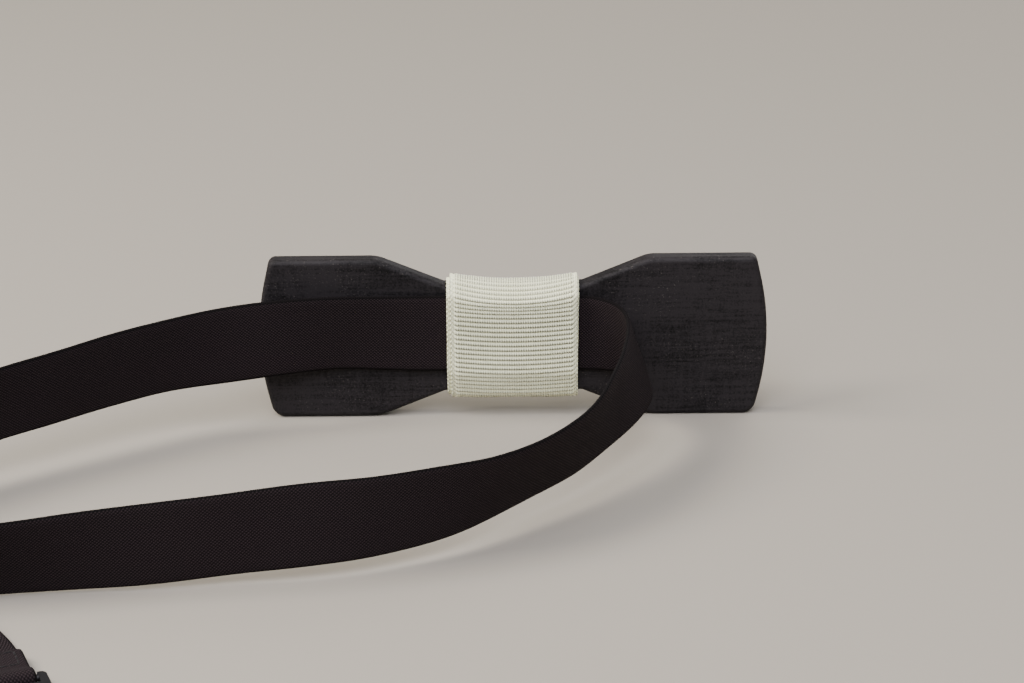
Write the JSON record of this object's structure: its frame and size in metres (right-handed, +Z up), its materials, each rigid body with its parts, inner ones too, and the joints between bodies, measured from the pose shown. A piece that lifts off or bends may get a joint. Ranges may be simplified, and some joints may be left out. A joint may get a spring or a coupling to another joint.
{
  "type": "bow tie",
  "caption": "Wooden bow tie standing on its edge, with a ribbon knot and an adjustable neck strap that fastens with a hook and eye.",
  "frame": {"origin": "middle of the knot's rear face, where it rests on the collar", "axes": "X along the bow, -Y out of the knot's rear face towards the collar and the strap, +Y the display side, +Z up with the bow standing on its lower edge"},
  "size_m": [0.1794, 0.1513, 0.033],
  "materials": {
    "stained_wood": "black-stained fine-grained wood, sanded, open-pored matte oil finish",
    "ivory_ribbon": "ivory grosgrain ribbon, cross-ribbed, soft sheen",
    "black_tape": "black woven twill tape, matte",
    "black_metal": "black-coated steel, satin"
  },
  "bodies": {
    "bow": {"bow_blank": "stained_wood", "knot_ribbon": "ivory_ribbon"},
    "strap": {"neck_tape": "black_tape", "tape_tail": "black_tape"},
    "adjuster": {"slide_adjuster": "black_metal", "adjuster_fold": "black_tape"},
    "hook_fitting": {"hook": "black_metal"},
    "eye_fitting": {"eye": "black_metal"}
  },
  "joints": [
    {"name": "strap_through_knot", "type": "slide", "parent": "bow", "child": "strap", "axis": [1, 0, 0], "range_m": [0, 0.006]},
    {"name": "adjuster_slide", "type": "slide", "parent": "strap", "child": "adjuster", "axis": [0, -1, 0], "range_m": [0, 0.03], "deforming": ["tape_tail"]},
    {"name": "hook_hinge", "type": "hinge", "parent": "strap", "child": "hook_fitting", "pos_m": [-0.12535, -0.13215, -0.0067], "axis": [0, 0, 1], "range_deg": [-75, 75]},
    {"name": "eye_hinge", "type": "hinge", "parent": "strap", "child": "eye_fitting", "pos_m": [-0.0841, -0.11155, -0.0146], "axis": [-0.9318, -0.3629, 0], "range_deg": [0, 85]}
  ]
}
